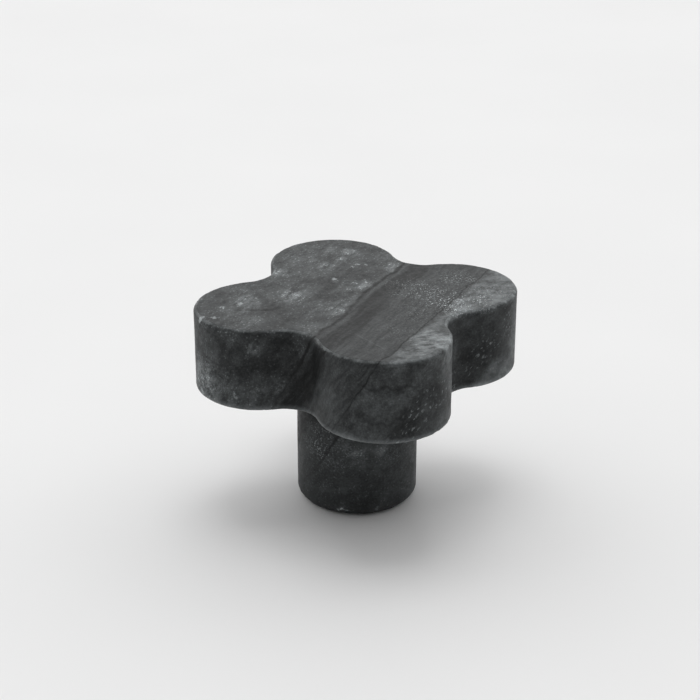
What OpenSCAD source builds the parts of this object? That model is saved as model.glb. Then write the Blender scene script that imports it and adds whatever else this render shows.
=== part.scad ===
// Clover knob for a glass shower screen: a four-lobed head and its round stem, cut from
// one block of stone, with a knurled brass insert bonded into the foot for an M6 stud.
// Millimetres, +Z up. The origin is the centre of the foot, on the plane that it stands on.

/* [Head] */
// Diameter of one lobe
lobe_d = 21.3; // [18:0.1:26]
// Radius of the hollow between two lobes
notch_r = 5.35; // [3:0.05:9]
// Thickness of the head
head_t = 13.7; // [9:0.1:20]
// Radius that eases the edge of the top face
top_ease = 0.6; // [0.2:0.1:2]
// Radius that eases the edge of the underside
under_ease = 0.7; // [0.2:0.1:2]

/* [Stem] */
// Diameter of the stem
stem_d = 20; // [16:0.5:24]
// Height of the stem, from the foot to the underside of the head
stem_h = 21.6; // [17:0.1:32]
// Radius that eases the edge of the foot
foot_ease = 1.6; // [0.5:0.1:2.5]
// Radius of the cove where the stem runs into the underside of the head
neck_cove = 1; // [0.5:0.1:2]

/* [Insert] */
// Outside diameter of the brass insert
insert_d = 8.5; // [8:0.25:11]
// Length of the insert
insert_l = 13; // [9:0.5:15]
// Depth of the insert's outer end inside the foot
insert_recess = 0.5; // [0.2:0.1:2]
// Bore of the insert, the minor diameter of its M6 thread
thread_bore_d = 5; // [4.5:0.25:5.5]
// Lead-in chamfer at both ends of the bore
lead_in = 0.5; // [0.2:0.1:0.8]
// Number of flutes in the knurl
flutes = 24; // [16:2:32]
// Depth of one flute
flute_depth = 0.3; // [0.15:0.05:0.35]
// Width of the plain groove between the two knurled bands
groove_w = 2; // [1:0.25:4]
// Depth of that groove, more than a flute's
groove_depth = 0.5; // [0.4:0.05:0.7]
// Bond line between the insert and the stone, measured on the radius
bond_gap = 0.1; // [0.05:0.05:0.3]
// Room beyond the insert for the end of the stud
stud_room = 2; // [1:0.5:4]

/* [Hidden] */
$fn = 96;

lobes = 4;
lobe_pitch = 360 / lobes;
lobe_r = lobe_d / 2;

// Each lobe is a half round and each hollow a quarter round, on one square grid, so that
// they run into one another with no corner.
lobe_offset = lobe_r + notch_r;

stem_r = stem_d / 2;
insert_r = insert_d / 2;
bore_r = thread_bore_d / 2;
flute_pitch = 360 / flutes;
pocket_r = insert_r + bond_gap;
pocket_depth = insert_recess + insert_l + stud_room;

// How far a cutting shape runs past the face that it cuts, and a joining one past its joint
over = 1;

stone_colour = "#3b3d3e";
brass_colour = "#b08d4a";

// What rounding takes off a square lower right corner, with the round's centre above the local origin
module corner_waste(ease) {
    difference() {
        translate([0, -over]) square(ease + over);
        translate([0, ease]) circle(ease);
    }
}

// A square that stands on its corner and reaches as far as it is deep, for chamfers and V flutes
module diamond(depth) {
    rotate(45) square(depth * sqrt(2), center = true);
}

// Half section of a lobe, with its lower and upper rims eased
module lobe_section() {
    difference() {
        square([lobe_r, head_t]);
        translate([lobe_r - under_ease, 0]) corner_waste(under_ease);
        translate([lobe_r - top_ease, head_t]) mirror([0, 1]) corner_waste(top_ease);
    }
}

// Half section of the cutter for a hollow, flared so that it leaves the head's rims eased
module notch_section() {
    translate([0, -over]) square([notch_r, head_t + 2 * over]);
    translate([notch_r + under_ease, 0]) mirror([1, 0]) corner_waste(under_ease);
    translate([notch_r + top_ease, head_t]) rotate(180) corner_waste(top_ease);
}

// Half section of the stem, eased at the foot and coved at the neck, running up into the head
module stem_section() {
    difference() {
        square([stem_r, stem_h + over]);
        translate([stem_r - foot_ease, 0]) corner_waste(foot_ease);
    }
    translate([stem_r, stem_h - neck_cove]) difference() {
        square([neck_cove, neck_cove + over]);
        translate([neck_cove, 0]) circle(neck_cove);
    }
}

// Half section of the insert, with a lead-in at each end of the bore and a groove round the middle
module insert_section() {
    difference() {
        translate([bore_r, 0]) square([insert_r - bore_r, insert_l]);
        for (z = [0, insert_l]) translate([bore_r, z]) diamond(lead_in);
        translate([insert_r - groove_depth, (insert_l - groove_w) / 2]) square([groove_depth + over, groove_w]);
    }
}

// The middle of the head: a square block whose sides carry the lobes, hollowed at its corners
module web() {
    difference() {
        translate([-lobe_offset, -lobe_offset, 0]) cube([2 * lobe_offset, 2 * lobe_offset, head_t]);
        for (k = [0:lobes - 1]) rotate(k * lobe_pitch)
            translate([lobe_offset, lobe_offset, 0]) rotate_extrude() notch_section();
    }
}

module lobe() {
    translate([lobe_offset, 0, 0]) rotate(-90) rotate_extrude(angle = 180) lobe_section();
}

module head() {
    web();
    for (k = [0:lobes - 1]) rotate(k * lobe_pitch) lobe();
}

module stone_knob() {
    color(stone_colour) difference() {
        union() {
            translate([0, 0, stem_h]) head();
            rotate_extrude() stem_section();
        }
        translate([0, 0, -over]) cylinder(r = pocket_r, h = pocket_depth + over);
    }
}

module threaded_insert() {
    color(brass_colour) translate([0, 0, insert_recess]) difference() {
        rotate_extrude() insert_section();
        for (k = [0:flutes - 1]) rotate(k * flute_pitch)
            translate([insert_r, 0, -over]) linear_extrude(insert_l + 2 * over) diamond(flute_depth);
    }
}

stone_knob();
threaded_insert();
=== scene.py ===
"""A clover knob of honed dark marble with a threaded brass insert, standing on a pale studio floor."""

import logging
import math
from dataclasses import dataclass
from enum import Enum
from typing import Callable, Iterable, Sequence

import bpy
from mathutils import Matrix, Vector


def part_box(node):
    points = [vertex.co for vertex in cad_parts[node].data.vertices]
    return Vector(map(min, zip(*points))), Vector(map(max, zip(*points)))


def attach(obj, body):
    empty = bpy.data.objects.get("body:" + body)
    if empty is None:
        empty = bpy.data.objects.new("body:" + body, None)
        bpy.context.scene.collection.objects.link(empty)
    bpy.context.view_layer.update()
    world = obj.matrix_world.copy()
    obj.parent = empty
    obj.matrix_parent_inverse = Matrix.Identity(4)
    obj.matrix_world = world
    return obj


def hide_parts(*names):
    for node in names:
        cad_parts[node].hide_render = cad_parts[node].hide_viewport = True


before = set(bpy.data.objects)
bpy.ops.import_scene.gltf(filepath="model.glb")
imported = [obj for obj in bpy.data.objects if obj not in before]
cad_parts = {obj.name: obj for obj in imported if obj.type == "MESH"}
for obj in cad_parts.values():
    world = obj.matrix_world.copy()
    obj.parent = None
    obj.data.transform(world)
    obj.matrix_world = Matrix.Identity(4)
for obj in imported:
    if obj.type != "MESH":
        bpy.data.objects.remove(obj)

log = logging.getLogger("knob")

MM = 0.001
QUARTER = math.pi / 2
WELD = 0.002 * MM
NEAR = 0.02 * MM
AXIS_X = (1.0, 0.0, 0.0)
AXIS_Y = (0.0, 1.0, 0.0)
AXIS_Z = (0.0, 0.0, 1.0)

Socket = bpy.types.NodeSocket
Feed = float | Sequence[float] | Socket


class Node(Enum):
    """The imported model's nodes that the pieces here stand for."""

    KNOB = "stone_knob"
    INSERT = "threaded_insert"


class Slot(Enum):
    """The material slots, one for each piece."""

    STONE = "stone"
    BRASS = "brass"


class Graph:
    """A node tree, with one short method for each kind of node that the finishes and the room use."""

    def __init__(self, owner: bpy.types.Material | bpy.types.World, shader: str = "Principled BSDF") -> None:
        """Takes the tree of a new material or world.

        Args:
            owner: the material or world.
            shader: the name of the shader node that it starts with.
        """
        owner.use_nodes = True
        self.owner = owner
        self.tree = owner.node_tree
        self.shader = self.tree.nodes[shader]

    def feed(self, socket: Socket, value: Feed) -> None:
        """Links a socket to another, or sets its own value.

        Args:
            socket: the input to fill.
            value: a socket to link, or a plain value to set.
        """
        if isinstance(value, bpy.types.NodeSocket):
            self.tree.links.new(value, socket)
        else:
            socket.default_value = value

    def add(self, kind: str, inputs: dict[str | int, Feed]) -> bpy.types.ShaderNode:
        """Adds a node and fills its inputs.

        Args:
            kind: the node's type, without its first word.
            inputs: what goes into its inputs, by their name or number.

        Returns:
            The node.
        """
        node = self.tree.nodes.new("ShaderNode" + kind)
        for key, value in inputs.items():
            self.feed(node.inputs[key], value)
        return node

    def set(self, name: str, value: Feed) -> None:
        """Fills one of the shader's inputs."""
        self.feed(self.shader.inputs[name], value)

    def position(self) -> Socket:
        """Gives the point's place on the object, in millimetres."""
        return self.vector("SCALE", self.add("TexCoord", {}).outputs["Object"], scale=1 / MM)

    def vector(self, operation: str, a: Feed, b: Feed = (0, 0, 0), scale: Feed = 1.0) -> Socket:
        """Adds a vector math node.

        Args:
            operation: the node's operation.
            a: the first vector.
            b: the second vector, where the operation has one.
            scale: the factor, where the operation has one.

        Returns:
            The node's result, a number for a dot product, a distance or a length.
        """
        node = self.add("VectorMath", {0: a, 1: b, 3: scale})
        node.operation = operation
        single = operation in ("DOT_PRODUCT", "DISTANCE", "LENGTH")
        return node.outputs["Value" if single else "Vector"]

    def math(self, operation: str, a: Feed, b: Feed = 0.0) -> Socket:
        """Adds a math node.

        Args:
            operation: the node's operation.
            a: the first number.
            b: the second number.

        Returns:
            The result.
        """
        node = self.add("Math", {0: a, 1: b})
        node.operation = operation
        return node.outputs[0]

    def chain(self, operation: str, first: Feed, *others: Feed) -> Socket:
        """Takes two or more numbers together, one after the other.

        Args:
            operation: the math node's operation.
            first: the first number.
            others: the other numbers.

        Returns:
            The result.
        """
        result = first
        for other in others:
            result = self.math(operation, result, other)
        return result

    def product(self, *numbers: Feed) -> Socket:
        """Multiplies two or more numbers."""
        return self.chain("MULTIPLY", *numbers)

    def total(self, *numbers: Feed) -> Socket:
        """Adds two or more numbers."""
        return self.chain("ADD", *numbers)

    def most(self, *numbers: Feed) -> Socket:
        """Gives the largest of two or more numbers."""
        return self.chain("MAXIMUM", *numbers)

    def rest(self, share: Feed) -> Socket:
        """Gives what a share leaves of 1."""
        return self.math("SUBTRACT", 1.0, share)

    def sway(self, noise: Feed, reach: float) -> Socket:
        """Centres noise on 0 and gives it a reach."""
        return self.product(self.total(noise, -0.5), reach)

    def fade(self, value: Feed, start: float, end: float, low: float = 0.0, high: float = 1.0) -> Socket:
        """Carries a value smoothly from low to high as it goes from start to end.

        Args:
            value: the number that drives the fade.
            start: where the fade starts.
            end: where it ends, below start for a fade that runs backwards.
            low: the result at the start.
            high: the result at the end.

        Returns:
            The faded value.
        """
        node = self.add("MapRange", {"Value": value, "From Min": start, "From Max": end,
                                     "To Min": low, "To Max": high})
        node.interpolation_type = "SMOOTHSTEP"
        return node.outputs["Result"]

    def band(self, value: Feed, centre: float, core: float, edge: float) -> Socket:
        """Gives 1 within core of the centre, falling to 0 at edge.

        Args:
            value: the number to test.
            centre: the band's middle.
            core: half the width of the full band.
            edge: the distance at which it has faded out.

        Returns:
            The band's strength.
        """
        away = self.math("ABSOLUTE", self.math("SUBTRACT", value, centre))
        return self.fade(away, edge, core)

    def noise(self, at: Feed, size: float, detail: float = 2.0, rough: float = 0.5) -> Socket:
        """Adds smooth noise.

        Args:
            at: the place to read it at, in millimetres.
            size: the size of its largest features, in millimetres.
            detail: the octaves of finer noise.
            rough: how strong each finer octave is.

        Returns:
            The noise, from 0 to 1.
        """
        node = self.add("TexNoise", {"Vector": at, "Scale": 1 / size, "Detail": detail, "Roughness": rough})
        return node.outputs[0]

    def wander(self, at: Feed, size: float, reach: float, detail: float = 2.0) -> Socket:
        """Moves a place about by noise.

        Args:
            at: the place, in millimetres.
            size: the size of the noise's features.
            reach: how far the noise may move it.
            detail: the octaves of finer noise.

        Returns:
            The moved place.
        """
        colour = self.noise(at, size, detail).node.outputs["Color"]
        centred = self.vector("SUBTRACT", colour, (0.5, 0.5, 0.5))
        return self.vector("ADD", at, self.vector("SCALE", centred, scale=2 * reach))

    def scatter(self, at: Feed, spacing: float, reach: float, share: float, vary: float = 0.0) -> Socket:
        """Scatters round spots.

        Args:
            at: the place to read it at, in millimetres.
            spacing: the spots' rough spacing.
            reach: the spots' radius, in units of the spacing.
            share: the share of places that have a spot.
            vary: how much weaker than 1 the weakest spots are.

        Returns:
            1 or less in a spot, 0 outside.
        """
        node = self.add("TexVoronoi", {"Vector": at, "Scale": 1 / spacing})
        chosen = self.vector("DOT_PRODUCT", node.outputs["Color"], AXIS_X)
        strength = self.vector("DOT_PRODUCT", node.outputs["Color"], (0, vary, 0))
        return self.product(self.fade(node.outputs["Distance"], reach, 0.4 * reach),
                            self.math("LESS_THAN", chosen, share), self.total(strength, 1.0 - vary))

    def combine(self, x: Feed, y: Feed, z: Feed) -> Socket:
        """Makes a vector of three numbers."""
        return self.add("CombineXYZ", {0: x, 1: y, 2: z}).outputs[0]

    def height(self, place: Feed) -> Socket:
        """Gives the third part of a place."""
        return self.vector("DOT_PRODUCT", place, AXIS_Z)

    def mix(self, share: Feed, a: Feed, b: Feed) -> Socket:
        """Blends two numbers by a share of the second."""
        return self.add("Mix", {0: share, 2: a, 3: b}).outputs[0]

    def ramp(self, value: Feed, stops: Iterable[tuple[float, Sequence[float]]]) -> Socket:
        """Turns a number into a colour.

        Args:
            value: the number, from 0 to 1.
            stops: the places and their colours, in order.

        Returns:
            The colour.
        """
        node = self.add("ValToRGB", {"Fac": value})
        elements = node.color_ramp.elements
        listed = list(stops)
        while len(elements) < len(listed):
            elements.new(1.0)
        for element, (place, colour) in zip(elements, listed):
            element.position = place
            element.color = (*colour, 1.0)
        return node.outputs["Color"]

    def bump(self, height: Feed, depth: float) -> None:
        """Roughens the surface by a height.

        Args:
            height: the height, from 0 to 1.
            depth: what a height of 1 measures, in metres.
        """
        node = self.add("Bump", {"Height": height, "Distance": depth})
        self.set("Normal", node.outputs["Normal"])


@dataclass(frozen=True)
class Seam:
    """A thin dark bed that runs through the block: its plane and how wide it shows, in millimetres."""

    normal: tuple[float, float, float]
    depth: float
    core: float
    edge: float
    strength: float


@dataclass(frozen=True)
class Patch:
    """A placed mark in the stone: its middle and reach in millimetres, and its strength."""

    place: tuple[float, float, float]
    reach: float
    strength: float


@dataclass(frozen=True)
class Vein:
    """A short thin line on the top face: its ends and width in millimetres, and the tone that it adds."""

    start: tuple[float, float]
    end: tuple[float, float]
    width: float
    tone: float


@dataclass(frozen=True)
class StonePoint:
    """A point of the stone, as sockets.

    Its place and height are in millimetres, and so is how far it lies past the broad and the hair seam.
    The rest are shares: left of the broad seam, outside both seams, on the head and on the stem.
    """

    place: Socket
    height: Socket
    broad: Socket
    hair: Socket
    left: Socket
    outer: Socket
    head: Socket
    stem: Socket


@dataclass(frozen=True)
class HonedMarble:
    """Dark grey bedded marble with a honed face: seams, clouds, flecks and sugary crystals."""

    top: float = 35.3
    under: float = 21.6
    neck: tuple[float, float] = (20.0, 22.0)
    matrix: float = 0.052
    shade: float = 0.010
    cloud: float = 0.25
    # tone of the pale bed on the top face: partly the stone, partly painted sheen
    pale_bed_and_painted_sheen: float = 0.108
    glow: float = 0.055
    fleck: float = 0.30
    # tone of the arris line: partly wear, partly painted highlight and painted bounce light
    rim_wear_and_highlight: float = 0.11
    tint: tuple[float, float, float] = (0.93, 1.0, 1.02)
    roughness: tuple[float, float] = (0.44, 0.60)
    specular: float = 0.125
    grain_depth: float = 0.02 * MM
    swell: float = 0.45
    swell_length: float = 22.0
    swell_crest: tuple[float, float, float] = (1.3, 1.5, 0.0)
    companion_gap: float = 1.5
    tooth_gap: float = 3.3
    broad_seam: Seam = Seam((0.69, -0.553, -0.467), -15.62, 0.08, 0.44, 0.85)
    hair_seam: Seam = Seam((0.642, -0.551, -0.534), -6.52, 0.03, 0.20, 0.78)
    clouds: tuple[Patch, ...] = (
        Patch((7, -21, 35), 7.0, 1.6),
        Patch((23, -3, 35), 6.5, 0.4),
        Patch((15, -8, 35), 5.0, 0.6),
        Patch((3, -16, 35), 4.0, 0.5),
        Patch((-10, 3, 35), 4.0, 1.1),
        Patch((-18, 2, 35), 4.0, 0.85),
        Patch((2, 4, 35), 3.2, 0.9),
        Patch((-4.5, -5, 35), 2.8, 1.1),
        Patch((9, 10.5, 35), 3.0, 1.0),
        Patch((-5, 19, 35), 5.0, 0.42),
        Patch((-1.5, 14, 35), 2.7, 1.0),
        Patch((1, 16.5, 35), 2.7, 1.0),
        Patch((3.5, 19, 35), 2.5, 0.9),
        Patch((-10, 13, 35), 3.0, 0.9),
        Patch((-20, -6, 35), 4.0, 0.5),
        Patch((-26, -3, 25), 6.0, 1.4),
        Patch((-22, -8, 25), 4.0, 0.4),
        Patch((-14, -11, 25), 4.0, 0.6),
        Patch((-19, -10, 32), 2.0, 0.7),
        Patch((-4, -26, 28), 4.5, 0.3),
        Patch((23, -8, 23), 3.5, 0.8),
        Patch((25.5, -4, 28), 6.5, 1.0),
        Patch((9.5, -20, 29), 4.0, 0.4),
        Patch((-2, -10, 11), 4.5, 0.5),
        Patch((-3.4, -9.4, 12.2), 2.4, 1.3),
        Patch((1.2, -9.9, 11.6), 2.0, 1.0),
        Patch((-4.75, -8.8, 1.2), 1.2, 1.0),
    )
    glows: tuple[Patch, ...] = (
        Patch((-9.7, -20.3, 27.5), 4.0, 0.7),
        Patch((-9.4, -21.0, 24.5), 2.5, 0.6),
        Patch((-8.4, -22.5, 22.0), 2.5, 0.7),
        Patch((-0.6, -26.6, 28.5), 2.8, 0.5),
        Patch((9.8, -20.0, 30.0), 5.0, 0.9),
    )
    # dark patches in the stone; the one at the top of the stem is a painted shadow cast by the head
    dark_marks_and_painted_shadow: tuple[Patch, ...] = (
        Patch((-13, -10, 30), 7.0, 0.45),
        Patch((-20, -9, 30), 5.0, 0.25),
        Patch((2, -9, 4), 10.0, 0.12),
        Patch((-8, -4, 3), 8.0, 0.20),
        # painted shadow: the head's front-left hollow shades the top of the stem here
        Patch((-8.6, -5.0, 17.2), 2.0, 0.6),
        Patch((-12, -5, 35), 6.5, 0.30),
        Patch((2, 9, 35), 5.0, 0.25),
        Patch((-4, 1, 35), 4.5, 0.30),
        Patch((-25, 4, 35), 6.0, 0.25),
        Patch((1, 25, 35), 5.0, 0.25),
    )
    sugar: tuple[Patch, ...] = (
        Patch((9.5, 1, 35), 6.0, 0.6),
        Patch((12, -3, 35), 6.0, 0.9),
        Patch((13.5, -7, 35), 5.5, 1.2),
        Patch((17.5, 3, 35), 5.5, 0.5),
        Patch((17.5, -6, 35), 5.0, 0.9),
        Patch((21, -4, 35), 5.0, 0.4),
        Patch((18.5, -8.5, 35), 4.0, 0.5),
        Patch((7, -9, 35), 5.5, 0.3),
        Patch((3, -16, 35), 5.0, 0.2),
        Patch((-7.5, -6.0, 12.5), 6.0, 0.4),
        Patch((-3.5, -9.3, 11.5), 3.5, 0.25),
        Patch((3.0, -9.5, 11.0), 3.5, 0.2),
    )
    spots: tuple[Patch, ...] = (
        Patch((-26, -2.5, 35), 0.8, 1.0),
        Patch((-24, -3, 35.2), 0.7, 0.7),
        Patch((-22, 0.5, 35.2), 0.45, 1.0),
        Patch((-19, 1.5, 35.2), 0.7, 0.6),
        Patch((-2, 7.8, 35.2), 0.7, 0.8),
        Patch((2.5, 12.5, 35.2), 0.45, 0.9),
        Patch((3.5, 13.2, 35.2), 0.4, 0.9),
        Patch((4.8, 12.8, 35.2), 0.4, 0.8),
        Patch((-22, -8.8, 24), 0.6, 0.4),
        Patch((0.9, -10, 1.3), 0.4, 0.3),
        Patch((-5.4, -8.4, 1.2), 0.5, 0.7),
        Patch((-4.7, -8.8, 1.2), 0.5, 1.2),
        Patch((-4.0, -9.1, 1.2), 0.5, 0.8),
    )
    frets: tuple[Patch, ...] = (
        Patch((-1.6, -26.4, 31.05), 5.0, 0.36),
        Patch((-24.4, -6.6, 29.0), 3.2, 0.36),
    )
    veins: tuple[Vein, ...] = (
        Vein((-4.5, -14.0), (-1.0, -22.0), 0.20, 0.025),
        Vein((-21.0, -1.0), (-14.0, -2.5), 0.40, -0.040),
    )

    def material(self) -> bpy.types.Material:
        """Makes the stone's material.

        Returns:
            The material, ready to assign.
        """
        g = Graph(bpy.data.materials.new("honed_marble"))
        at = self._locate(g)
        grain = g.noise(at.place, size=0.34, rough=0.6)
        tone = g.product(self._beds(g, at), g.fade(grain, 0.25, 0.75, low=0.72, high=1.30))
        tone = g.product(g.total(tone, self._clouding(g, at)), self._salting(g, at))
        # the arris line is partly wear and partly a painted highlight
        tone = g.total(tone, self._flecking(g, at), self._rim_wear_and_highlights(g, at), self._veining(g, at))
        tone = g.product(tone, self._seaming(g, at))
        g.set("Base Color", g.ramp(tone, ((0.0, (0.0, 0.0, 0.0)), (1.0, self.tint))))
        polish = g.noise(at.place, size=1.1, detail=4.0, rough=0.6)
        g.set("Roughness", g.fade(polish, 0.25, 0.75, *self.roughness))
        g.set("Specular IOR Level", self.specular)
        g.bump(g.total(grain, g.product(polish, 0.6)), self.grain_depth)
        return g.owner

    def _locate(self, g: Graph) -> StonePoint:
        """Works out where a point lies in the stone.

        Args:
            g: the material's graph.

        Returns:
            The point.
        """
        place = g.position()
        loose = place
        for size, reach in ((5.0, 0.6), (1.6, 0.35), (0.6, 0.12)):
            loose = g.wander(loose, size, reach)
        height = g.height(place)
        broad = g.total(self._across(g, loose, self.broad_seam), self._bend(g, place))
        hair = self._across(g, loose, self.hair_seam)
        left = g.fade(broad, 0.3, -0.3)
        outer = g.total(left, g.fade(hair, -0.2, 0.4))
        low, high = self.neck
        return StonePoint(place, height, broad, hair, left, outer,
                          head=g.fade(height, low, high), stem=g.fade(height, high, low))

    @staticmethod
    def _across(g: Graph, place: Feed, seam: Seam) -> Socket:
        """Gives the distance across the bedding from a seam, in millimetres."""
        return g.math("SUBTRACT", g.vector("DOT_PRODUCT", place, seam.normal), seam.depth)

    def _along(self, g: Graph, place: Feed, stretch: Sequence[float]) -> Socket:
        """Turns a place into the beds' own directions: along their strike, across them and down their dip.

        Args:
            g: the material's graph.
            place: the point, in millimetres.
            stretch: a factor for each direction, below 1 for marks that are drawn out along it.

        Returns:
            The turned place.
        """
        across = Vector(self.hair_seam.normal).normalized()
        strike = across.cross(Vector(AXIS_Z)).normalized()
        axes = (strike, across, strike.cross(across))
        return g.combine(*(g.vector("DOT_PRODUCT", place, tuple(axis * k)) for axis, k in zip(axes, stretch)))

    def _bend(self, g: Graph, place: Feed) -> Socket:
        """Gives the slow wave of the broad seam along its strike.

        Args:
            g: the material's graph.
            place: the point, in millimetres.

        Returns:
            The wave, in millimetres.
        """
        turn = math.tau / self.swell_length
        phase = self._along(g, g.vector("SUBTRACT", place, self.swell_crest), (turn, 0.0, 0.0))
        return g.product(g.math("COSINE", g.vector("DOT_PRODUCT", phase, AXIS_X)), self.swell)

    @staticmethod
    def _patches(g: Graph, place: Feed, patches: Iterable[Patch], core: float) -> Socket:
        """Gives the strongest of the placed marks at a point.

        Args:
            g: the material's graph.
            place: the point, in millimetres.
            patches: the marks.
            core: the share of a mark's reach within which it has its full strength.

        Returns:
            The strength, 0 outside the marks.
        """
        amount = 0.0
        for patch in patches:
            away = g.vector("DISTANCE", place, patch.place)
            amount = g.most(amount, g.fade(away, patch.reach, core * patch.reach, high=patch.strength))
        return amount

    def _beds(self, g: Graph, at: StonePoint) -> Socket:
        """Gives the tone of the beds: mottled outside the seams and streaked between them, darkened by listed
        dark patches, one of them a painted shadow under the head.

        Args:
            g: the material's graph.
            at: the point.

        Returns:
            The tone before its grain.
        """
        drawn = self._along(g, g.wander(at.place, 4.0, 0.9), (0.06, 1.0, 0.2))
        streak = g.noise(drawn, size=0.6, detail=5.0, rough=0.6)
        lumpy = self._along(g, g.wander(at.place, 1.6, 0.5), (0.5, 1.0, 0.8))
        mottle = g.noise(lumpy, size=2.2, detail=8.0, rough=0.72)
        factor = g.mix(at.outer, g.fade(streak, 0.3, 0.7, low=0.50, high=1.16),
                       g.fade(mottle, 0.33, 0.68, low=0.45, high=1.55))
        factor = g.mix(g.fade(at.height, 20.0, 16.0, high=0.5), factor, 0.95)
        tone = g.product(factor, self.matrix)
        ragged = g.noise(self._along(g, at.place, (0.1, 1.0, 0.5)), size=2.4, detail=4.0, rough=0.6)
        dark = g.band(g.total(at.broad, g.sway(ragged, 4.0)), 2.7, core=0.8, edge=2.6)
        dark = g.product(dark, g.fade(streak, 0.72, 0.42, low=0.6))
        tone = g.mix(g.product(dark, 0.95), tone, self.shade)
        fleck_bed = g.product(g.band(at.hair, 9.1, core=1.4, edge=2.8), g.fade(at.height, 18.0, 24.0))
        tone = g.mix(g.product(fleck_bed, 0.4), tone, self.shade)
        # the dark patches darken the tone; one is a painted shadow under the head's hollow
        darkening_and_painted_shadow = self._patches(g, g.wander(at.place, 4.0, 1.5), self.dark_marks_and_painted_shadow, core=0.3)
        return g.product(tone, g.rest(darkening_and_painted_shadow))

    def _clouding(self, g: Graph, at: StonePoint) -> Socket:
        """Gives the pale clouds: placed ones, thin ones all through the stone, and the pale bed on the right,
        which on the top face is partly a painted sheen.

        Args:
            g: the material's graph.
            at: the point.

        Returns:
            The tone that the clouds add.
        """
        thin = g.fade(g.noise(at.place, size=6.0), 0.45, 0.7, high=0.35)
        placed = self._patches(g, g.wander(at.place, 3.0, 1.8, detail=3.0), self.clouds, core=0.1)
        amount = g.product(g.most(thin, placed), g.fade(at.outer, 0.0, 1.0, low=0.12))
        torn = g.wander(at.place, 0.9, 0.3)
        wisps = g.noise(self._along(g, torn, (0.4, 1.3, 1.0)), size=1.3, detail=8.0, rough=0.78)
        sparks = g.scatter(self._along(g, at.place, (0.5, 1.5, 1.0)), spacing=0.5, reach=0.42, share=0.35)
        crisp = g.product(g.fade(wisps, 0.38, 0.68, high=self.cloud), g.total(0.78, g.product(sparks, 1.6)))
        past = self._across(g, at.place, self.hair_seam)
        right = g.fade(past, 0.0, 1.2)
        soft = g.noise(g.vector("MULTIPLY", torn, (0.7, 1.0, 1.0)), size=1.8, detail=7.0, rough=0.68)
        clouds = g.product(amount, g.mix(right, crisp, g.fade(soft, 0.3, 0.7, high=0.5 * self.cloud)))
        on_top = g.fade(at.height, 34.3, 35.1)
        # the pale bed, kept to the top face, is partly a painted sheen that stops at the arris
        pale_bed_and_painted_sheen = g.product(right, on_top, g.fade(soft, 0.32, 0.68, high=self.pale_bed_and_painted_sheen))
        glows = self._patches(g, g.wander(at.place, 2.0, 1.0), self.glows, core=0.1)
        last_bed = g.product(g.fade(g.total(past, g.product(soft, 1.5)), 11.2, 12.6), at.head)
        far = g.product(g.most(glows, last_bed), g.fade(soft, 0.25, 0.75, low=0.2), self.glow)
        return g.total(clouds, pale_bed_and_painted_sheen, far)

    def _salting(self, g: Graph, at: StonePoint) -> Socket:
        """Gives the salt, the fine pale grains on the left of the head and, more thinly, on the stem.

        Args:
            g: the material's graph.
            at: the point.

        Returns:
            The factor that the salt puts on the tone.
        """
        on_left = g.product(at.left, g.fade(at.height, 33.0, 35.0, low=0.6))
        salted = g.most(on_left, g.mix(at.stem, 0.25, 0.6))
        grains = g.scatter(self._along(g, at.place, (0.8, 1.1, 1.0)),
                           spacing=0.43, reach=0.42, share=0.45, vary=0.7)
        return g.total(0.92, g.product(grains, salted, 1.7))

    def _flecking(self, g: Graph, at: StonePoint) -> Socket:
        """Gives the white flecks: placed ones, many in one bed, and a sugary dust beside the hair seam.

        Args:
            g: the material's graph.
            at: the point.

        Returns:
            The tone that the flecks add.
        """
        torn = g.wander(at.place, 0.7, 0.45)
        patchy = g.fade(g.noise(at.place, size=5.0, detail=1.0), 0.35, 0.55, low=0.3)
        bed = g.product(g.band(at.hair, 8.9, core=0.7, edge=2.1), patchy, at.head)
        flat = self._along(g, torn, (0.75, 1.5, 0.48))
        small = g.scatter(flat, spacing=0.5, reach=0.40, share=0.5, vary=0.8)
        large = g.scatter(flat, spacing=0.8, reach=0.36, share=0.3, vary=0.6)
        flecks = g.product(bed, g.most(small, large), 0.55)
        open_faces = g.most(g.fade(at.height, 34.2, 34.9), at.stem)
        sugared = g.product(self._patches(g, g.wander(at.place, 3.5, 3.5), self.sugar, core=0.1), open_faces)
        crystals = g.scatter(self._along(g, torn, (0.9, 1.1, 1.0)),
                             spacing=0.32, reach=0.48, share=0.9, vary=0.9)
        dust = g.product(sugared, crystals, 1.8)
        spots = self._patches(g, g.wander(at.place, 0.6, 0.9), self.spots, core=0.3)
        return g.product(g.most(flecks, dust, spots), self.fleck)

    def _rim_wear_and_highlights(self, g: Graph, at: StonePoint) -> Socket:
        """Gives the pale line along the head's arrises: partly wear, partly a painted highlight on the
        rounded top arris and painted floor bounce light on the lower arris.

        Args:
            g: the material's graph.
            at: the point.

        Returns:
            The tone that the line adds.
        """
        rim_breakup = g.noise(at.place, size=1.4, detail=6.0, rough=0.75)
        ragged = g.total(at.height, g.sway(rim_breakup, 0.5))
        # painted highlight where the rounded top arris catches the light, broken up by pale wear specks
        upper = g.product(g.fade(at.height, self.top, self.top - 0.02),
                          g.fade(ragged, self.top - 0.34, self.top - 0.14))
        # painted bounce light from the floor along the lower arris, with pale wear
        lower = g.product(g.fade(at.height, self.under + 0.02, self.under + 0.25),
                          g.fade(at.height, self.under + 1.3, self.under + 0.4))
        rim_wear_and_highlight = g.fade(g.total(rim_breakup, g.product(g.noise(at.place, size=5.0), 0.8)), 0.78, 1.12, low=0.15)
        even = g.fade(rim_wear_and_highlight, 0.0, 1.0, low=0.45, high=0.95)
        return g.product(g.most(g.product(upper, rim_wear_and_highlight), g.product(lower, even)), self.rim_wear_and_highlight)

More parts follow.
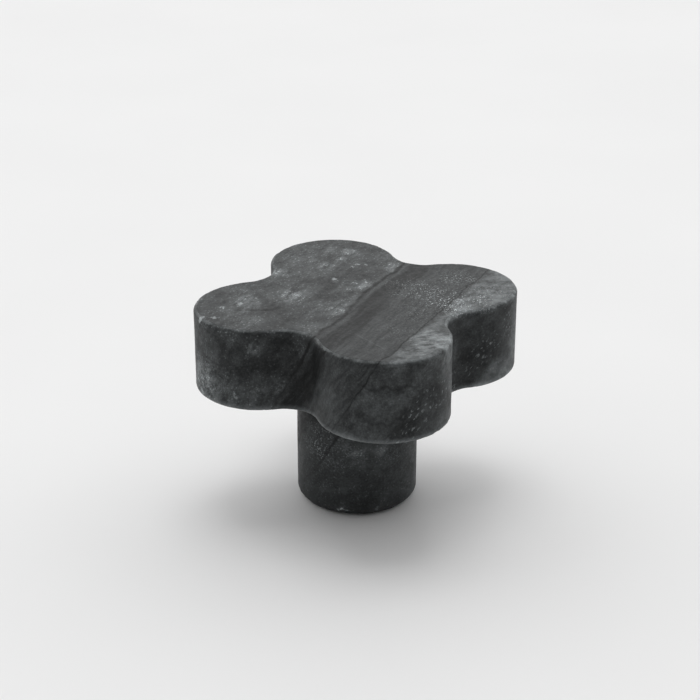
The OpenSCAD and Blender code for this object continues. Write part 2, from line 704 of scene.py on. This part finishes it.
    def _veining(self, g: Graph, at: StonePoint) -> Socket:
        """Gives the short thin lines on the top face.

        Args:
            g: the material's graph.
            at: the point.

        Returns:
            The tone that they add, below 0 for a dark one.
        """
        torn = g.wander(at.place, 1.5, 0.3)
        tone = 0.0
        for vein in self.veins:
            start, end = (Vector((*point, self.top)) for point in (vein.start, vein.end))
            middle = (start + end) / 2
            reach = (end - start).length / 2
            side = (end - start).cross(Vector(AXIS_Z)).normalized()
            across = g.vector("DOT_PRODUCT", torn, tuple(side))
            line = g.band(across, side.dot(middle), core=0.2 * vein.width, edge=vein.width)
            near = g.fade(g.vector("DISTANCE", at.place, tuple(middle)), reach, 0.6 * reach)
            tone = g.total(tone, g.product(line, near, vein.tone))
        return tone

    def _seaming(self, g: Graph, at: StonePoint) -> Socket:
        """Gives the darkening of the seams and of the frets, the short toothed lines, as a factor.

        Args:
            g: the material's graph.
            at: the point.

        Returns:
            The factor, 1 away from the lines.
        """
        main, thin = self.broad_seam, self.hair_seam
        broken = g.fade(g.noise(at.place, size=2.4, detail=3.0, rough=0.6), 0.3, 0.55, low=0.5)
        on_head = g.product(g.fade(at.height, 24.0, self.top, low=0.42), at.head)
        on_stem = g.product(at.stem, g.fade(at.height, 5.0, 11.0))
        lines = (
            (g.band(at.broad, 0.0, main.core, main.edge), on_head, main.strength),
            (g.band(at.broad, self.companion_gap, thin.core, main.edge), on_head, 0.4 * main.strength),
            (g.band(at.hair, 0.0, thin.core, thin.edge), on_head, thin.strength),
            (g.band(at.hair, 0.0, thin.edge / 2, 2.2 * thin.edge), on_stem, 0.65 * thin.strength),
        )
        pale_strip = g.product(g.band(at.broad, 0.8, core=0.2, edge=0.7), 0.14)
        factor = g.total(1.0, pale_strip)
        for line, shown, strength in lines:
            factor = g.product(factor, g.rest(g.product(line, broken, shown, strength)))
        x = g.vector("DOT_PRODUCT", at.place, AXIS_X)
        teeth = g.product(g.math("COSINE", g.product(g.total(x, 2.6), math.tau / self.tooth_gap)), 0.3)
        jagged = g.sway(g.noise(g.combine(x, 0.0, 0.0), size=0.9), 0.9)
        bent = g.math("SUBTRACT", at.height, g.total(teeth, jagged))
        for fret in self.frets:
            line = g.band(bent, fret.place[2], core=0.05, edge=0.45)
            near = g.fade(g.vector("DISTANCE", at.place, fret.place), fret.reach, 0.8 * fret.reach)
            factor = g.product(factor, g.rest(g.product(line, near, fret.strength)))
        return factor


@dataclass(frozen=True)
class TurnedBrass:
    """Dull turned brass, a little tarnished."""

    fresh: tuple[float, float, float] = (0.72, 0.50, 0.20)
    tarnished: tuple[float, float, float] = (0.36, 0.24, 0.10)
    roughness: tuple[float, float] = (0.26, 0.46)
    ring_gap: float = 0.11
    ring_depth: float = 0.004 * MM

    def material(self) -> bpy.types.Material:
        """Makes the brass material.

        Returns:
            The material, ready to assign.
        """
        g = Graph(bpy.data.materials.new("turned_brass"))
        place = g.position()
        stain = g.noise(place, size=1.8, detail=5.0, rough=0.6)
        g.set("Base Color", g.ramp(g.fade(stain, 0.35, 0.7), ((0.0, self.fresh), (1.0, self.tarnished))))
        g.set("Metallic", 1.0)
        g.set("Roughness", g.fade(stain, 0.3, 0.7, *self.roughness))
        flat = g.vector("MULTIPLY", place, (1, 1, 0))
        rings = g.math("SINE", g.product(g.vector("LENGTH", flat), math.tau / self.ring_gap))
        g.bump(rings, self.ring_depth)
        return g.owner


@dataclass(frozen=True)
class PaleFloor:
    """The plain pale floor of the studio."""

    low: float = 0.8019
    high: float = 0.8181

    def material(self) -> bpy.types.Material:
        """Makes the floor's material.

        Returns:
            The material, ready to assign.
        """
        g = Graph(bpy.data.materials.new("pale_floor"))
        shade = g.noise(g.position(), size=60.0)
        g.set("Base Color", g.ramp(shade, ((0.3, (self.low,) * 3), (0.7, (self.high,) * 3))))
        g.set("Roughness", 0.7)
        g.set("Specular IOR Level", 0.2)
        return g.owner


class Bench:
    """Mesh making by operators, as by hand: one object in edit mode at a time."""

    def __init__(self, name: str) -> None:
        """Starts an object as a single point at the origin, in edit mode.

        Args:
            name: the object's name.
        """
        bpy.ops.object.select_all(action="DESELECT")
        bpy.ops.mesh.primitive_plane_add(size=MM)
        self.object = bpy.context.object
        self.object.name = name
        self.object.data.name = name
        bpy.ops.object.mode_set(mode="EDIT")
        bpy.ops.mesh.select_mode(type="VERT")
        bpy.ops.mesh.select_all(action="SELECT")
        bpy.ops.mesh.merge(type="CENTER")
        self.at = Vector((0.0, 0.0, 0.0))

    def start(self, x: float, z: float) -> None:
        """Moves the first point to the start of a section in the XZ plane.

        Args:
            x: the distance from the axis.
            z: the height.
        """
        target = Vector((x, 0.0, z))
        bpy.ops.transform.translate(value=target - self.at)
        self.at = target

    def line(self, x: float, z: float, steps: int = 1) -> None:
        """Draws a straight stretch of the section.

        Args:
            x: the distance from the axis at its end.
            z: the height at its end.
            steps: the number of edges.
        """
        target = Vector((x, 0.0, z))
        stride = (target - self.at) / steps
        for _ in range(steps):
            bpy.ops.mesh.extrude_vertices_move(TRANSFORM_OT_translate={"value": stride})
        self.at = target

    def arc(self, x: float, z: float, angle: float, steps: int) -> None:
        """Draws a round stretch of the section.

        Args:
            x: the distance of its centre from the axis.
            z: the height of its centre.
            angle: its angle, by the right-hand rule about Y.
            steps: the number of edges.
        """
        self.spin((x, 0.0, z), AXIS_Y, angle, steps)
        centre = Vector((x, 0.0, z))
        self.at = centre + Matrix.Rotation(angle, 3, "Y") @ (self.at - centre)

    @staticmethod
    def spin(centre: Sequence[float], axis: Sequence[float], angle: float, steps: int) -> None:
        """Spins what is selected. With no window the operator turns against the right-hand rule.

        Args:
            centre: a point on the axis.
            axis: the axis.
            angle: the angle, by the right-hand rule.
            steps: the number of steps.
        """
        bpy.ops.mesh.spin(steps=steps, angle=-angle, center=centre, axis=axis)

    def lathe(self, steps: int) -> None:
        """Turns the whole section once round the Z axis.

        Args:
            steps: the number of steps.
        """
        bpy.ops.mesh.select_all(action="SELECT")
        self.spin((0, 0, 0), AXIS_Z, math.tau, steps)
        self.weld()

    def pick(self, test: Callable[[Vector], bool]) -> None:
        """Selects the vertices that pass a test of their place, and the edges and faces between them.

        Args:
            test: whether a vertex at this place is selected.
        """
        bpy.ops.mesh.select_all(action="DESELECT")
        bpy.ops.object.mode_set(mode="OBJECT")
        for vertex in self.object.data.vertices:
            vertex.select = test(vertex.co)
        bpy.ops.object.mode_set(mode="EDIT")

    def join(self, other: bpy.types.Object) -> None:
        """Takes another object's mesh into this one and goes back to editing.

        Args:
            other: the object to take in.
        """
        bpy.ops.object.mode_set(mode="OBJECT")
        bpy.ops.object.select_all(action="DESELECT")
        other.select_set(True)
        self.object.select_set(True)
        bpy.context.view_layer.objects.active = self.object
        bpy.ops.object.join()
        bpy.ops.object.mode_set(mode="EDIT")

    @staticmethod
    def weld() -> None:
        """Merges the vertices that lie together and turns all faces outwards."""
        bpy.ops.mesh.select_all(action="SELECT")
        bpy.ops.mesh.remove_doubles(threshold=WELD)
        bpy.ops.mesh.normals_make_consistent(inside=False)

    def done(self, smooth_deg: float) -> bpy.types.Object:
        """Leaves edit mode and smooths the shading.

        Args:
            smooth_deg: the sharpest angle that is shaded smooth, in degrees.

        Returns:
            The finished object.
        """
        bpy.ops.object.mode_set(mode="OBJECT")
        bpy.ops.object.shade_smooth_by_angle(angle=math.radians(smooth_deg))
        return self.object


def apply_modifier(piece: bpy.types.Object, kind: str, **settings: object) -> None:
    """Adds a modifier, sets it and applies it.

    Args:
        piece: the object, active and in object mode.
        kind: the modifier's type.
        settings: its settings, by name.
    """
    bpy.ops.object.modifier_add(type=kind)
    modifier = piece.modifiers[-1]
    for name, value in settings.items():
        setattr(modifier, name, value)
    bpy.ops.object.modifier_apply(modifier=modifier.name)


@dataclass(frozen=True)
class Wear:
    """Unevenness that noise takes off a surface: its size, its depth, and where it starts and is full."""

    name: str
    size: float
    depth: float
    start: float
    full: float

    def carve(self, piece: bpy.types.Object, weigh: Callable[[Vector], float]) -> None:
        """Presses the surface in, never out, where the noise and the weight say.

        Args:
            piece: the object, active and in object mode.
            weigh: the share of the depth that a vertex at this place gets.
        """
        group = piece.vertex_groups.new(name=self.name)
        for vertex in piece.data.vertices:
            weight = weigh(vertex.co)
            if weight > 0:
                group.add([vertex.index], weight, "REPLACE")
        texture = bpy.data.textures.new(self.name, "CLOUDS")
        texture.noise_scale = self.size
        texture.noise_depth = 2
        texture.use_color_ramp = True
        low, high = texture.color_ramp.elements
        low.position, low.color = self.full, (0, 0, 0, 1)
        high.position, high.color = self.start, (1, 1, 1, 1)
        apply_modifier(piece, "DISPLACE", texture=texture, texture_coords="LOCAL",
                       vertex_group=group.name, strength=self.depth, mid_level=1.0)


def radius_of(place: Vector) -> float:
    """Gives a place's distance from the Z axis."""
    return math.hypot(place.x, place.y)


def bend_share(rise: float, ease: float) -> float:
    """Gives how far round an eased arris a point is: 1 at its middle, 0 at both ends.

    Args:
        rise: the point's height above the start of the round.
        ease: the round's radius.

    Returns:
        The share, 0 off the round.
    """
    share = rise / ease
    return 2 * share * math.sqrt(1 - share * share) if 0 < share < 1 else 0.0


@dataclass
class Piece:
    """A sub-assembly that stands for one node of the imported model."""

    node: Node
    slot: Slot
    finish: HonedMarble | TurnedBrass

    def dress(self, piece: bpy.types.Object) -> None:
        """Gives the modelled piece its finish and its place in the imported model.

        Args:
            piece: the piece's object.
        """
        piece.data.materials.append(self.finish.material())
        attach(piece, "root")
        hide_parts(self.node.value)


@dataclass
class StoneKnob(Piece):
    """The head and stem, one block of stone with a pocket bored up into its foot. Sizes in metres."""

    half_span: float
    top: float
    lobe_r: float = 10.65 * MM
    stem_r: float = 10.0 * MM
    stem_h: float = 21.6 * MM
    top_ease: float = 0.6 * MM
    under_ease: float = 0.7 * MM
    foot_ease: float = 1.6 * MM
    neck_cove: float = 1.0 * MM
    pocket_r: float = 4.35 * MM
    pocket_depth: float = 15.5 * MM
    rim: float = 2.2 * MM
    lobe_steps: int = 128
    notch_steps: int = 32
    stem_steps: int = 320
    cap_rings: tuple[float, ...] = (0.85, 0.8, 0.75, 0.65, 0.5)
    smooth_deg: float = 40.0
    margin: float = 0.5 * MM
    wall_fade: float = 2.0 * MM
    under_wear: float = 0.5
    foot_wear: float = 0.7
    nicks: Wear = Wear("nicks", 1.0 * MM, 0.16 * MM, 0.38, 0.26)
    bruises: Wear = Wear("bruises", 2.8 * MM, 0.09 * MM, 0.64, 0.30)
    waves: Wear = Wear("waves", 8.0 * MM, 0.05 * MM, 0.70, 0.30)

    @property
    def lobe_offset(self) -> float:
        """The distance of a lobe's centre from the axis."""
        return self.half_span - self.lobe_r

    @property
    def neck_r(self) -> float:
        """The radius at which the cove runs out into the underside."""
        return self.stem_r + self.neck_cove

    def build(self) -> bpy.types.Object:
        """Models the block.

        Returns:
            The stone, at its place.
        """
        stem = self._stem()
        bench = Bench("knob_block")
        self._rim_section(bench)
        self._sweep_outline(bench)
        self._cap_top(bench)
        bench.join(stem)
        self._close_underside(bench)
        piece = bench.done(self.smooth_deg)
        self.nicks.carve(piece, self._on_arris)
        self.bruises.carve(piece, self._on_arris)
        self.waves.carve(piece, self._on_wall)
        return piece

    def _stem(self) -> bpy.types.Object:
        """Turns the stem, its foot and the pocket, from the neck down and up into the pocket.

        Returns:
            The stem, open at the neck.
        """
        bench = Bench("stem")
        bench.start(self.neck_r, self.stem_h)
        bench.arc(self.neck_r, self.stem_h - self.neck_cove, -QUARTER, steps=6)
        bench.line(self.stem_r, self.foot_ease, steps=40)
        bench.arc(self.stem_r - self.foot_ease, self.foot_ease, QUARTER, steps=9)
        bench.line(self.pocket_r, 0.0, steps=8)
        bench.line(self.pocket_r, self.pocket_depth, steps=8)
        bench.line(0.0, self.pocket_depth, steps=4)
        bench.lathe(self.stem_steps)
        # The flare of the cove misleads the turning of the faces, which leaves the open stem inside out
        bpy.ops.mesh.flip_normals()
        return bench.done(self.smooth_deg)

    def _rim_section(self, bench: Bench) -> None:
        """Draws the head's edge in section at the tip of the right lobe, from the top to the underside.

        Args:
            bench: the head's bench.
        """
        outer, inner = self.half_span, self.half_span - self.rim
        bench.start(inner, self.top)
        bench.line(outer - self.top_ease, self.top, steps=8)
        bench.arc(outer - self.top_ease, self.top - self.top_ease, QUARTER, steps=6)
        bench.line(outer, self.stem_h + self.under_ease, steps=28)
        bench.arc(outer - self.under_ease, self.stem_h + self.under_ease, QUARTER, steps=6)
        bench.line(inner, self.stem_h, steps=8)

    def _sweep_outline(self, bench: Bench) -> None:
        """Sweeps the section round the lobes and hollows, each about its own centre.

        Args:
            bench: the head's bench.
        """
        bpy.ops.mesh.select_all(action="SELECT")
        reach = self.lobe_offset
        half_lobe = self.lobe_steps // 2
        bench.spin((reach, 0, 0), AXIS_Z, QUARTER, half_lobe)
        for k in range(4):
            turn = Matrix.Rotation(k * QUARTER, 3, "Z")
            bench.spin(turn @ Vector((reach, reach, 0)), AXIS_Z, -QUARTER, self.notch_steps)
            lobe = turn @ Vector((0, reach, 0))
            if k < 3:
                bench.spin(lobe, AXIS_Z, math.pi, self.lobe_steps)
            else:
                bench.spin(lobe, AXIS_Z, QUARTER, half_lobe)
        bench.weld()

    def _on_rim_edge(self, place: Vector, z: float) -> bool:
        """Says whether a vertex lies on the open inner edge of the swept rim at one height.

        Args:
            place: the vertex's place.
            z: the height.

        Returns:
            True on the edge.
        """
        if abs(place.z - z) > NEAR:
            return False
        reach = self.lobe_offset
        x, y = sorted((abs(place.x), abs(place.y)), reverse=True)
        if x > reach - NEAR:
            return abs(math.hypot(x - reach, y) - self.lobe_r + self.rim) < NEAR
        notch_r = self.half_span - 2 * self.lobe_r + self.rim
        return abs(math.hypot(x - reach, y - reach) - notch_r) < NEAR

    def _on_open_edges(self, place: Vector) -> bool:
        """Says whether a vertex lies on the underside's open edge or on the neck's."""
        on_neck = abs(place.z - self.stem_h) < NEAR and abs(radius_of(place) - self.neck_r) < NEAR
        return on_neck or self._on_rim_edge(place, self.stem_h)

    def _cap_top(self, bench: Bench) -> None:
        """Closes the top face with rings of faces that shrink to its middle.

        Args:
            bench: the head's bench.
        """
        bench.pick(lambda place: self._on_rim_edge(place, self.top))
        for factor in self.cap_rings:
            bpy.ops.mesh.extrude_edges_move()
            bpy.ops.transform.resize(value=(factor, factor, 1), center_override=(0, 0, self.top))
        bpy.ops.mesh.edge_face_add()

    def _close_underside(self, bench: Bench) -> None:
        """Joins the head's underside to the neck of the stem.

        Args:
            bench: the bench with both.
        """
        bench.pick(self._on_open_edges)
        bpy.ops.mesh.bridge_edge_loops()
        bench.weld()

    def _on_arris(self, place: Vector) -> float:
        """Gives how close a vertex is to the middle of an arris.

        Args:
            place: the vertex's place.

        Returns:
            1 at the middle of the top's arris, less on the others, 0 off them.
        """
        if radius_of(place) > self.neck_r + self.margin:
            under = bend_share(self.stem_h + self.under_ease - place.z, self.under_ease)
            return max(bend_share(place.z - self.top + self.top_ease, self.top_ease), self.under_wear * under)
        if radius_of(place) > self.pocket_r + self.margin:
            return self.foot_wear * bend_share(self.foot_ease - place.z, self.foot_ease)
        return 0.0

    def _on_wall(self, place: Vector) -> float:
        """Gives how much a vertex belongs to the upright walls.

        Args:
            place: the vertex's place.

        Returns:
            1 on the walls, fading to 0 at the arrises, the neck and the foot.
        """
        inside = 0.0
        if radius_of(place) > self.neck_r + self.margin:
            inside = min(self.top - place.z, place.z - self.stem_h)
        elif radius_of(place) > self.pocket_r + self.margin:
            inside = min(self.stem_h - place.z, place.z)
        return max(0.0, min(1.0, inside / self.wall_fade))


@dataclass
class ThreadedInsert(Piece):
    """The knurled brass insert in the foot, tapped for an M6 stud. Sizes in metres."""

    outer_r: float
    low: float
    high: float
    bore_r: float = 2.5 * MM
    lead_in: float = 0.5 * MM
    groove_w: float = 2.0 * MM
    groove_depth: float = 0.5 * MM
    flutes: int = 24
    flute_depth: float = 0.3 * MM
    columns_each: int = 8
    pitch: float = 1.0 * MM
    tooth: tuple[float, float, float] = (0.36, 0.47, 0.83)
    root_r: float = 3.03 * MM
    tap_r: float = 2.45 * MM
    turn_steps: int = 48
    smooth_deg: float = 30.0

    def build(self) -> bpy.types.Object:
        """Models the insert.

        Returns:
            The insert, at its place.
        """
        tap = self._tap()
        bench = Bench("brass_insert")
        self._turn_blank(bench)
        self._knurl(bench)
        self._cut_thread(bench.done(self.smooth_deg), tap)
        bpy.ops.object.mode_set(mode="EDIT")
        bench.weld()
        return bench.done(self.smooth_deg)

    def _turn_blank(self, bench: Bench) -> None:
        """Turns the plain blank, with its groove and the lead-ins of its bore.

        Args:
            bench: the insert's bench.
        """
        groove_r = self.outer_r - self.groove_depth
        mid = (self.low + self.high) / 2
        groove_low, groove_high = mid - self.groove_w / 2, mid + self.groove_w / 2
        bench.start(self.bore_r, self.low + self.lead_in)
        for x, z, steps in (
            (self.bore_r + self.lead_in, self.low, 1),
            (self.outer_r, self.low, 2),
            (self.outer_r, groove_low, 4),
            (groove_r, groove_low, 1),
            (groove_r, groove_high, 2),
            (self.outer_r, groove_high, 1),
            (self.outer_r, self.high, 4),
            (self.bore_r + self.lead_in, self.high, 2),
            (self.bore_r, self.high - self.lead_in, 1),
            (self.bore_r, self.low + self.lead_in, 1),
        ):
            bench.line(x, z, steps)
        bench.lathe(self.flutes * self.columns_each)

    def _knurl(self, bench: Bench) -> None:
        """Presses V flutes along the two bands, one ring of columns at a time.

        Args:
            bench: the insert's bench.
        """
        pitch = math.tau / self.flutes
        step = pitch / self.columns_each
        for k in range(self.columns_each // 2):
            depth = self.flute_depth - k * step * self.outer_r
            if depth <= 0:
                break
            bench.pick(lambda place, away=k * step: self._in_flute(place, pitch, away))
            shrink = 1 - depth / self.outer_r
            bpy.ops.transform.resize(value=(shrink, shrink, 1), center_override=(0, 0, 0))

    def _in_flute(self, place: Vector, pitch: float, away: float) -> bool:
        """Says whether a vertex is on the blank's outside, at an angle from the nearest flute's middle.

        Args:
            place: the vertex's place.
            pitch: the angle between flutes.
            away: the angle from the flute's middle.

        Returns:
            True for such a vertex.
        """
        angle = math.atan2(place.y, place.x) % pitch
        off = abs(min(angle, pitch - angle) - away) * self.outer_r
        return off < NEAR and abs(radius_of(place) - self.outer_r) < NEAR

    def _tap(self) -> bpy.types.Object:
        """Makes the cutter for the thread: one tooth's section, screwed up the bore and cut off square.

        Returns:
            The cutter.
        """
        bench = Bench("tap")
        base = self.low - 2 * self.pitch
        root_low, root_high, flank_end = (base + share * self.pitch for share in self.tooth)
        bench.start(self.tap_r, base)
        bench.line(self.root_r, root_low)
        bench.line(self.root_r, root_high)
        bench.line(self.tap_r, flank_end)
        bench.line(self.tap_r, base + self.pitch)
        tap = bench.done(self.smooth_deg)
        turns = math.ceil((self.high - self.low) / self.pitch) + 4
        apply_modifier(tap, "SCREW", axis="Z", screw_offset=self.pitch, iterations=turns,
                       steps=self.turn_steps, render_steps=self.turn_steps,
                       use_merge_vertices=True, merge_threshold=WELD)
        bpy.ops.object.mode_set(mode="EDIT")
        for level, way in ((self.low - self.pitch / 2, -1), (self.high + self.pitch / 2, 1)):
            bpy.ops.mesh.select_all(action="SELECT")
            bpy.ops.mesh.bisect(plane_co=(0, 0, level), plane_no=(0, 0, way), use_fill=True, clear_outer=True)
        bench.weld()
        bpy.ops.object.mode_set(mode="OBJECT")
        return tap

    @staticmethod
    def _cut_thread(piece: bpy.types.Object, tap: bpy.types.Object) -> None:
        """Cuts the thread and takes the cutter away.

        Args:
            piece: the knurled blank.
            tap: the cutter.
        """
        bpy.ops.object.select_all(action="DESELECT")
        bpy.context.view_layer.objects.active = piece
        apply_modifier(piece, "BOOLEAN", operation="DIFFERENCE", solver="EXACT", object=tap)
        tap.select_set(True)
        bpy.ops.object.delete()
        piece.select_set(True)


@dataclass(frozen=True)
class SoftBox:
    """A soft light that faces the knob: its place, width and depth in metres, and its radiance."""

    place: tuple[float, float, float]
    width: float
    depth: float
    radiance: float

    def hang(self, name: str) -> None:
        """Hangs the light.

        Args:
            name: the light's name.
        """
        bpy.ops.object.light_add(type="AREA", location=self.place)
        lamp = bpy.context.object
        lamp.name = name
        lamp.rotation_euler = Vector(self.place).to_track_quat("Z", "Y").to_euler()
        lamp.data.shape = "RECTANGLE"
        lamp.data.size, lamp.data.size_y = self.width, self.depth
        lamp.data.energy = self.radiance * math.pi * self.width * self.depth


@dataclass
class Studio:
    """The floor, the light and the camera, which stands where the photograph's did. Sizes in metres."""

    azimuth_deg: float = -14.33
    elevation_deg: float = 24.24
    distance: float = 300.5 * MM
    lens_mm: float = 91.1
    sensor_mm: float = 36.0
    aim_right: float = -1.19 * MM
    aim_up: float = 23.42 * MM
    floor_side: float = 4.0
    front_wall: float = 0.12
    back_wall: float = 1.5
    left_wall: float = 0.30
    wall_blend: float = 0.6
    floor: PaleFloor = PaleFloor()
    overhead: SoftBox = SoftBox((0.0, 0.16, 1.6), 0.8, 0.7, 2.9)

    @property
    def right(self) -> Vector:
        """The level direction to the camera's right."""
        return Matrix.Rotation(math.radians(self.azimuth_deg), 3, "Z") @ Vector(AXIS_X)

    @property
    def ahead(self) -> Vector:
        """The level direction that the camera looks in."""
        return Vector(AXIS_Z).cross(self.right)

    def build(self) -> None:
        """Sets up the floor, the light, the surroundings and the camera."""
        self._lay_floor()
        self.overhead.hang("overhead_softbox")
        self._surround()
        self._camera()
        bpy.context.scene.view_settings.view_transform = "Standard"

    def _lay_floor(self) -> None:
        """Lays the floor under the knob."""
        bpy.ops.object.select_all(action="DESELECT")
        bpy.ops.mesh.primitive_grid_add(x_subdivisions=8, y_subdivisions=8, size=self.floor_side)
        floor = bpy.context.object
        floor.name = "studio_floor"
        floor.data.materials.append(self.floor.material())

    def _surround(self) -> None:
        """Surrounds the scene with a room that is white behind the knob and dim behind the camera."""
        world = bpy.data.worlds.new("studio_room")
        g = Graph(world, "Background")
        way = g.add("TexCoord", {}).outputs["Generated"]
        depth = g.vector("DOT_PRODUCT", way, tuple(self.ahead))
        left = g.vector("DOT_PRODUCT", way, tuple(-self.right))
        tone = g.fade(depth, -self.wall_blend, self.wall_blend, self.front_wall, self.back_wall)
        g.set("Strength", g.total(tone, g.fade(left, 0.0, 1.0, high=self.left_wall)))
        g.set("Color", (1.0, 1.0, 1.0, 1.0))
        bpy.context.scene.world = world

    def _camera(self) -> None:
        """Places the camera at the photograph's viewing angle."""
        elevation = math.radians(self.elevation_deg)
        back = Vector((0.0, 0.0, math.sin(elevation))) - self.ahead * math.cos(elevation)
        up = back.cross(self.right)
        aim = self.right * self.aim_right + up * self.aim_up
        bpy.ops.object.camera_add(location=aim + back * self.distance)
        camera = bpy.context.object
        camera.name = "studio_camera"
        camera.rotation_euler = Matrix((self.right, up, back)).transposed().to_euler()
        camera.data.lens = self.lens_mm
        camera.data.sensor_width = self.sensor_mm
        camera.data.clip_start = 0.01
        bpy.context.scene.camera = camera


def main() -> None:
    """Builds the knob's pieces, sized from the two boxes of the imported model, and its studio."""
    logging.basicConfig(level=logging.INFO, format="%(message)s")
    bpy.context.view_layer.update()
    _, stone_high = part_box(Node.KNOB.value)
    insert_low, insert_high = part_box(Node.INSERT.value)
    pieces = (
        StoneKnob(Node.KNOB, Slot.STONE, HonedMarble(top=stone_high[2] / MM),
                  half_span=stone_high[0], top=stone_high[2]),
        ThreadedInsert(Node.INSERT, Slot.BRASS, TurnedBrass(),
                       outer_r=insert_high[0], low=insert_low[2], high=insert_high[2]),
    )
    for piece in pieces:
        modelled = piece.build()
        piece.dress(modelled)
        log.info("%s: %d faces", modelled.name, len(modelled.data.polygons))
    Studio().build()
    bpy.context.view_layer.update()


if __name__ == "__main__":
    main()
